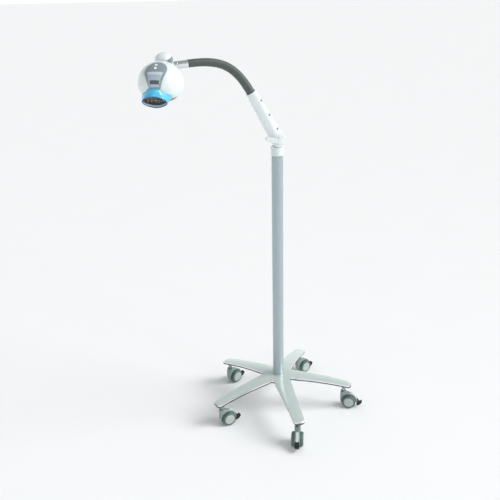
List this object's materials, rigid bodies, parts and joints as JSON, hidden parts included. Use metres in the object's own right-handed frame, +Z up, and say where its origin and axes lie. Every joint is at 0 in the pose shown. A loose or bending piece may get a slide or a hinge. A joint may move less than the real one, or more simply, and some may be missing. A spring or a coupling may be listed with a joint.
{
  "type": "dental operating light",
  "caption": "Mobile dental light: castored five-legged stand, column, tilting arm with gooseneck, and a helmet-shaped LED head with a bell-mouthed light shroud.",
  "frame": {"origin": "on the floor, under the column's axis", "axes": "+Z up along the column; the arm and gooseneck lie in the XZ plane with the lamp head at -X; one leg points to -Y"},
  "size_m": [0.7234, 0.5356, 1.2712],
  "materials": {
    "polished_aluminium": "polished",
    "steel": "brushed",
    "satin_grey_paint": "satin",
    "white_gloss": "gloss",
    "housing_grey": "gloss",
    "tyre_grey": "matt",
    "pedal_black": "matt",
    "neck_grey": "ribbed, matt",
    "chrome": "polished",
    "underside_grey": "satin",
    "panel_grey": "satin",
    "panel_blue": "gloss",
    "display_dark": "gloss",
    "button_silver": "satin",
    "shroud_cyan": "satin",
    "clear_plate": "clear",
    "board_green": "matt"
  },
  "bodies": {
    "stand": {"base_star": "polished_aluminium", "hub_bolt": "steel", "column_tube": "satin_grey_paint", "power_inlet": "pedal_black", "caster_stem_1": "steel", "caster_stem_2": "steel", "caster_stem_3": "steel", "caster_stem_4": "steel", "caster_stem_5": "steel"},
    "caster_1": {"caster_housing_1": "housing_grey"},
    "left_wheel_1": {"caster_wheel_left_1": "tyre_grey"},
    "right_wheel_1": {"caster_wheel_right_1": "tyre_grey"},
    "pedal_1": {"brake_pedal_1": "pedal_black"},
    "caster_2": {"caster_housing_2": "housing_grey"},
    "left_wheel_2": {"caster_wheel_left_2": "tyre_grey"},
    "right_wheel_2": {"caster_wheel_right_2": "tyre_grey"},
    "pedal_2": {"brake_pedal_2": "pedal_black"},
    "caster_3": {"caster_housing_3": "housing_grey"},
    "left_wheel_3": {"caster_wheel_left_3": "tyre_grey"},
    "right_wheel_3": {"caster_wheel_right_3": "tyre_grey"},
    "pedal_3": {"brake_pedal_3": "pedal_black"},
    "caster_4": {"caster_housing_4": "housing_grey"},
    "left_wheel_4": {"caster_wheel_left_4": "tyre_grey"},
    "right_wheel_4": {"caster_wheel_right_4": "tyre_grey"},
    "pedal_4": {"brake_pedal_4": "pedal_black"},
    "caster_5": {"caster_housing_5": "housing_grey"},
    "left_wheel_5": {"caster_wheel_left_5": "tyre_grey"},
    "right_wheel_5": {"caster_wheel_right_5": "tyre_grey"},
    "pedal_5": {"brake_pedal_5": "pedal_black"},
    "elbow": {"elbow_base": "white_gloss", "pivot_bolt": "steel"},
    "lever": {"clamp_lever": "white_gloss"},
    "arm": {"arm_shell_front": "white_gloss", "arm_shell_rear": "white_gloss", "arm_screw_1": "steel", "arm_screw_2": "steel", "arm_screw_3": "steel", "gooseneck_fitting": "steel"},
    "link_1": {"gooseneck_link_1": "neck_grey"},
    "link_2": {"gooseneck_link_2": "neck_grey"},
    "link_3": {"gooseneck_link_3": "neck_grey"},
    "link_4": {"gooseneck_link_4": "neck_grey"},
    "link_5": {"gooseneck_link_5": "neck_grey"},
    "link_6": {"gooseneck_link_6": "neck_grey"},
    "link_7": {"gooseneck_link_7": "neck_grey", "ferrule": "chrome"},
    "knuckle": {"knuckle_body": "white_gloss", "knuckle_cap": "white_gloss"},
    "head": {"head_shell": "white_gloss", "head_underside": "underside_grey", "control_panel": "panel_grey", "panel_window": "panel_blue", "display": "display_dark", "light_shroud": "shroud_cyan", "light_window": "clear_plate", "led_board": "board_green", "heat_sink": "polished_aluminium", "control_board": "board_green"},
    "power_key": {"button_power": "button_silver"},
    "timer_key": {"button_timer": "button_silver"}
  },
  "joints": [
    {"name": "caster_1_swivel", "type": "hinge", "parent": "stand", "child": "caster_1", "pos_m": [0, -0.237, 0], "axis": [0, 0, 1], "continuous": true},
    {"name": "left_wheel_1_spin", "type": "hinge", "parent": "caster_1", "child": "left_wheel_1", "pos_m": [-0.00684, -0.25579, 0.025], "axis": [0.9397, -0.342, 0], "continuous": true},
    {"name": "right_wheel_1_spin", "type": "hinge", "parent": "caster_1", "child": "right_wheel_1", "pos_m": [-0.00684, -0.25579, 0.025], "axis": [0.9397, -0.342, 0], "continuous": true},
    {"name": "pedal_1_press", "type": "hinge", "parent": "caster_1", "child": "pedal_1", "pos_m": [-0.00684, -0.25579, 0.025], "axis": [0.9397, -0.342, 0], "range_deg": [0, 14]},
    {"name": "caster_2_swivel", "type": "hinge", "parent": "stand", "child": "caster_2", "pos_m": [0.2254, -0.07324, 0], "axis": [0, 0, 1], "continuous": true},
    {"name": "left_wheel_2_spin", "type": "hinge", "parent": "caster_2", "child": "left_wheel_2", "pos_m": [0.24381, -0.08105, 0.025], "axis": [0.3907, 0.9205, 0], "continuous": true},
    {"name": "right_wheel_2_spin", "type": "hinge", "parent": "caster_2", "child": "right_wheel_2", "pos_m": [0.24381, -0.08105, 0.025], "axis": [0.3907, 0.9205, 0], "continuous": true},
    {"name": "pedal_2_press", "type": "hinge", "parent": "caster_2", "child": "pedal_2", "pos_m": [0.24381, -0.08105, 0.025], "axis": [0.3907, 0.9205, 0], "range_deg": [0, 14]},
    {"name": "caster_3_swivel", "type": "hinge", "parent": "stand", "child": "caster_3", "pos_m": [0.13931, 0.19174, 0], "axis": [0, 0, 1], "continuous": true},
    {"name": "left_wheel_3_spin", "type": "hinge", "parent": "caster_3", "child": "left_wheel_3", "pos_m": [0.15743, 0.20019, 0.025], "axis": [-0.4226, 0.9063, 0], "continuous": true},
    {"name": "right_wheel_3_spin", "type": "hinge", "parent": "caster_3", "child": "right_wheel_3", "pos_m": [0.15743, 0.20019, 0.025], "axis": [-0.4226, 0.9063, 0], "continuous": true},
    {"name": "pedal_3_press", "type": "hinge", "parent": "caster_3", "child": "pedal_3", "pos_m": [0.15743, 0.20019, 0.025], "axis": [-0.4226, 0.9063, 0], "range_deg": [0, 14]},
    {"name": "caster_4_swivel", "type": "hinge", "parent": "stand", "child": "caster_4", "pos_m": [-0.13931, 0.19174, 0], "axis": [0, 0, 1], "continuous": true},
    {"name": "left_wheel_4_spin", "type": "hinge", "parent": "caster_4", "child": "left_wheel_4", "pos_m": [-0.12181, 0.20143, 0.025], "axis": [-0.4848, 0.8746, 0], "continuous": true},
    {"name": "right_wheel_4_spin", "type": "hinge", "parent": "caster_4", "child": "right_wheel_4", "pos_m": [-0.12181, 0.20143, 0.025], "axis": [-0.4848, 0.8746, 0], "continuous": true},
    {"name": "pedal_4_press", "type": "hinge", "parent": "caster_4", "child": "pedal_4", "pos_m": [-0.12181, 0.20143, 0.025], "axis": [-0.4848, 0.8746, 0], "range_deg": [0, 14]},
    {"name": "caster_5_swivel", "type": "hinge", "parent": "stand", "child": "caster_5", "pos_m": [-0.2254, -0.07324, 0], "axis": [0, 0, 1], "continuous": true},
    {"name": "left_wheel_5_spin", "type": "hinge", "parent": "caster_5", "child": "left_wheel_5", "pos_m": [-0.20584, -0.06908, 0.025], "axis": [-0.2079, 0.9781, 0], "continuous": true},
    {"name": "right_wheel_5_spin", "type": "hinge", "parent": "caster_5", "child": "right_wheel_5", "pos_m": [-0.20584, -0.06908, 0.025], "axis": [-0.2079, 0.9781, 0], "continuous": true},
    {"name": "pedal_5_press", "type": "hinge", "parent": "caster_5", "child": "pedal_5", "pos_m": [-0.20584, -0.06908, 0.025], "axis": [-0.2079, 0.9781, 0], "range_deg": [0, 14]},
    {"name": "column_swivel", "type": "hinge", "parent": "stand", "child": "elbow", "pos_m": [0, 0, 0.96], "axis": [0, 0, 1], "range_deg": [-170, 170]},
    {"name": "lever_turn", "type": "hinge", "parent": "elbow", "child": "lever", "pos_m": [0.002, 0, 0.987], "axis": [0, 1, 0], "range_deg": [-60, 45]},
    {"name": "arm_tilt", "type": "hinge", "parent": "elbow", "child": "arm", "pos_m": [0.002, 0, 0.987], "axis": [0, 1, 0], "range_deg": [-40, 25]},
    {"name": "neck_bend_1", "type": "hinge", "parent": "arm", "child": "link_1", "pos_m": [-0.08742, 0, 1.14552], "axis": [0, 1, 0], "range_deg": [-20, 20]},
    {"name": "neck_sway_2", "type": "hinge", "parent": "link_1", "child": "link_2", "pos_m": [-0.10479, 0, 1.17238], "axis": [0.767, 0, 0.6416], "range_deg": [-20, 20]},
    {"name": "neck_bend_3", "type": "hinge", "parent": "link_2", "child": "link_3", "pos_m": [-0.1253, 0, 1.1969], "axis": [0, 1, 0], "range_deg": [-20, 20]},
    {"name": "neck_sway_4", "type": "hinge", "parent": "link_3", "child": "link_4", "pos_m": [-0.15018, 0, 1.2169], "axis": [0.4075, 0, 0.9132], "range_deg": [-20, 20]},
    {"name": "neck_bend_5", "type": "hinge", "parent": "link_4", "child": "link_5", "pos_m": [-0.17932, 0, 1.2299], "axis": [0, 1, 0], "range_deg": [-20, 20]},
    {"name": "neck_sway_6", "type": "hinge", "parent": "link_5", "child": "link_6", "pos_m": [-0.21072, 0, 1.23581], "axis": [0.0318, 0, 0.9995], "range_deg": [-20, 20]},
    {"name": "neck_bend_7", "type": "hinge", "parent": "link_6", "child": "link_7", "pos_m": [-0.24269, 0, 1.23683], "axis": [0, 1, 0], "range_deg": [-20, 20]},
    {"name": "head_nod", "type": "hinge", "parent": "link_7", "child": "knuckle", "pos_m": [-0.34474, 0, 1.22901], "axis": [0.9963, 0, 0.0855], "range_deg": [-40, 40]},
    {"name": "head_turn", "type": "hinge", "parent": "knuckle", "child": "head", "pos_m": [-0.34474, 0, 1.22901], "axis": [-0.0855, 0, 0.9963], "range_deg": [-80, 25]},
    {"name": "power_key_press", "type": "slide", "parent": "head", "child": "power_key", "axis": [0.2706, 0.6533, -0.7071], "range_m": [0, 0.0008], "stiffness_N_per_m": 250, "springref_m": -0.0004},
    {"name": "timer_key_press", "type": "slide", "parent": "head", "child": "timer_key", "axis": [0.2706, 0.6533, -0.7071], "range_m": [0, 0.0008], "stiffness_N_per_m": 250, "springref_m": -0.0004}
  ]
}
